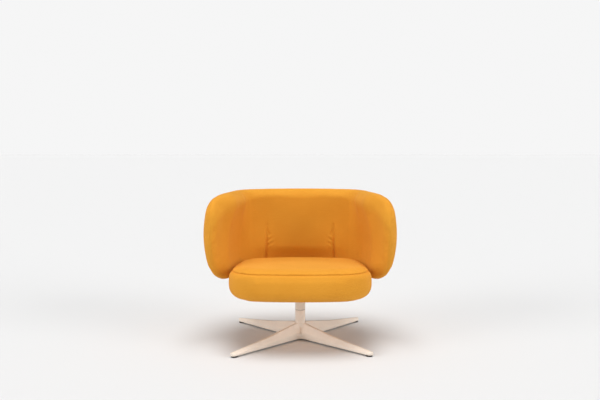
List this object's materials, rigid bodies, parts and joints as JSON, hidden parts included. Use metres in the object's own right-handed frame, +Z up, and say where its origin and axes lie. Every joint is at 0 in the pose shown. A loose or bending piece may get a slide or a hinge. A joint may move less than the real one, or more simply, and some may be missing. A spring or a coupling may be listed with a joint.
{
  "type": "pedestal swivel armchair",
  "caption": "Low upholstered tub armchair: a wrap-round back and arms hold a crowned seat cushion, which turns freely on a short column over a cast star base with glides.",
  "frame": {"origin": "where the swivel axis meets the floor, at the centre of the chair's overall length and depth", "axes": "+X to the chair's left arm as the sitter's right hand side seen from the front, so to the viewer's right; +Y to the rear, so the chair faces -Y; +Z up"},
  "size_m": [0.9316, 0.72, 0.735],
  "materials": {
    "mustard_wool": "matt woven wool, mustard orange",
    "cream_paint": "satin powder coat, warm cream",
    "dark_nylon": "matt moulded",
    "pale_acetal": "smooth moulded",
    "bright_steel": "zinc plated",
    "black_steel": "satin black",
    "plywood": "plain sanded birch plywood",
    "foam": "cut foam",
    "black_lining": "thin non-woven lining"
  },
  "bodies": {
    "base": {"base_star": "cream_paint", "glide_feet": "dark_nylon", "column_tube": "cream_paint", "column_ring": "dark_nylon", "lower_bush": "pale_acetal", "upper_bush": "pale_acetal", "thrust_washer": "pale_acetal"},
    "seat": {"arm_panel_left": "plywood", "arm_panel_right": "plywood", "bottom_liner": "black_lining", "brackets": "black_steel", "column_sleeve": "cream_paint", "foot_screws": "bright_steel", "lower_rail": "plywood", "plate_bolts": "bright_steel", "plate_inserts": "bright_steel", "plate_socket": "black_steel", "rail_screws": "bright_steel", "rib_arm_left": "plywood", "rib_arm_right": "plywood", "rib_back_left": "plywood", "rib_back_right": "plywood", "rib_corner_left": "plywood", "rib_corner_right": "plywood", "rib_front_left": "plywood", "rib_front_right": "plywood", "seat_board": "plywood", "seat_foam": "foam", "seat_pad": "mustard_wool", "spindle": "bright_steel", "spindle_clip": "bright_steel", "swivel_plate": "black_steel", "tub_pad": "mustard_wool", "upper_rail": "plywood"}
  },
  "joints": [
    {"name": "swivel", "type": "hinge", "parent": "base", "child": "seat", "pos_m": [0, 0, 0.143], "axis": [0, 0, 1], "continuous": true}
  ]
}
